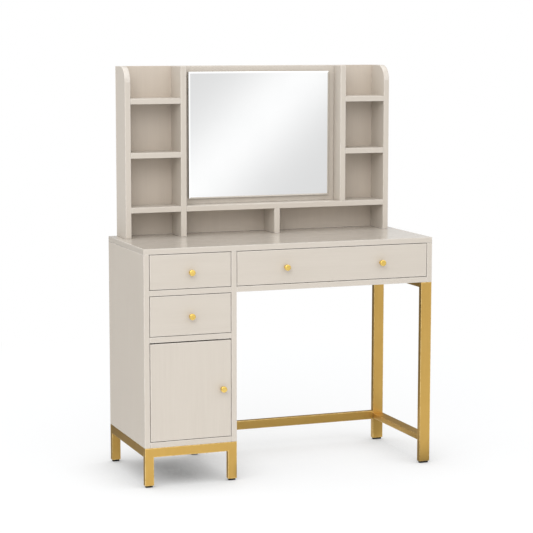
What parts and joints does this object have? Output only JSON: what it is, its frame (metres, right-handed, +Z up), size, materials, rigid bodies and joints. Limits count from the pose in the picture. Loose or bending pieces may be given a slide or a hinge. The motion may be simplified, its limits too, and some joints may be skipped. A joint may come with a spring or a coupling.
{
  "type": "vanity table with mirror",
  "caption": "Vanity desk with a drawer and door pedestal, a wide drawer, a metal base, and a hutch of open shelves around a fixed mirror.",
  "frame": {"origin": "on the floor, under the middle of the whole object's box, knobs included", "axes": "+X to the right as one faces the front, -Y out of the front, +Z up"},
  "size_m": [1, 0.422, 1.328],
  "materials": {
    "painted_board": "smooth painted board, satin, warm light grey",
    "drawer_board": "matt laminated board",
    "gold_metal": "steel tube with a satin gold coat",
    "gold_knob": "polished gold",
    "plated_steel": "zinc plated",
    "dark_steel": "blackened steel, oiled",
    "black_rubber": "matt",
    "mirror_silver": "silvered float glass with a polished edge",
    "dark_backing": "matt dark hardboard",
    "dark_plastic": "matt"
  },
  "bodies": {
    "table": {"pedestal_base_frame": "gold_metal", "side_frame": "gold_metal", "rear_stretcher": "gold_metal", "foot_pad_front_left": "black_rubber", "foot_pad_front_middle": "black_rubber", "foot_pad_front_right": "black_rubber", "foot_pad_back_left": "black_rubber", "foot_pad_back_middle": "black_rubber", "foot_pad_back_right": "black_rubber", "pedestal_left_panel": "painted_board", "pedestal_right_panel": "painted_board", "pedestal_back": "painted_board", "pedestal_floor": "painted_board", "cabinet_top_board": "painted_board", "drawer_rail_board": "painted_board", "desktop": "painted_board", "apron_side_panel": "painted_board", "apron_bottom": "painted_board", "apron_back": "painted_board", "upper_drawer_runner_left": "plated_steel", "upper_drawer_runner_right": "plated_steel", "middle_drawer_runner_left": "plated_steel", "middle_drawer_runner_right": "plated_steel", "wide_drawer_runner_left": "plated_steel", "wide_drawer_runner_right": "plated_steel", "door_pivot_lower": "dark_steel", "door_pivot_upper": "dark_steel", "door_catch": "dark_plastic", "hutch_left_panel": "painted_board", "hutch_right_panel": "painted_board", "hutch_left_divider": "painted_board", "hutch_right_divider": "painted_board", "hutch_small_divider": "painted_board", "hutch_back": "painted_board", "long_shelf": "painted_board", "left_shelf_1": "painted_board", "left_shelf_2": "painted_board", "left_shelf_3": "painted_board", "right_shelf_1": "painted_board", "right_shelf_2": "painted_board", "mirror_board": "painted_board", "mirror_backing": "dark_backing", "mirror_glass": "mirror_silver"},
    "upper_drawer": {"upper_drawer_front": "painted_board", "upper_drawer_box": "drawer_board", "upper_drawer_bottom": "drawer_board", "upper_drawer_knob": "gold_knob"},
    "middle_drawer": {"middle_drawer_front": "painted_board", "middle_drawer_box": "drawer_board", "middle_drawer_bottom": "drawer_board", "middle_drawer_knob": "gold_knob"},
    "wide_drawer": {"wide_drawer_front": "painted_board", "wide_drawer_box": "drawer_board", "wide_drawer_bottom": "drawer_board", "wide_drawer_knob_left": "gold_knob", "wide_drawer_knob_right": "gold_knob"},
    "door": {"door_panel": "painted_board", "door_knob": "gold_knob"}
  },
  "joints": [
    {"name": "upper_drawer_slide", "type": "slide", "parent": "table", "child": "upper_drawer", "axis": [0, -1, 0], "range_m": [0, 0.25]},
    {"name": "middle_drawer_slide", "type": "slide", "parent": "table", "child": "middle_drawer", "axis": [0, -1, 0], "range_m": [0, 0.25]},
    {"name": "wide_drawer_slide", "type": "slide", "parent": "table", "child": "wide_drawer", "axis": [0, -1, 0], "range_m": [0, 0.25]},
    {"name": "door_hinge", "type": "hinge", "parent": "table", "child": "door", "pos_m": [-0.47, -0.184, 0.305], "axis": [0, 0, -1], "range_deg": [0, 110]}
  ]
}
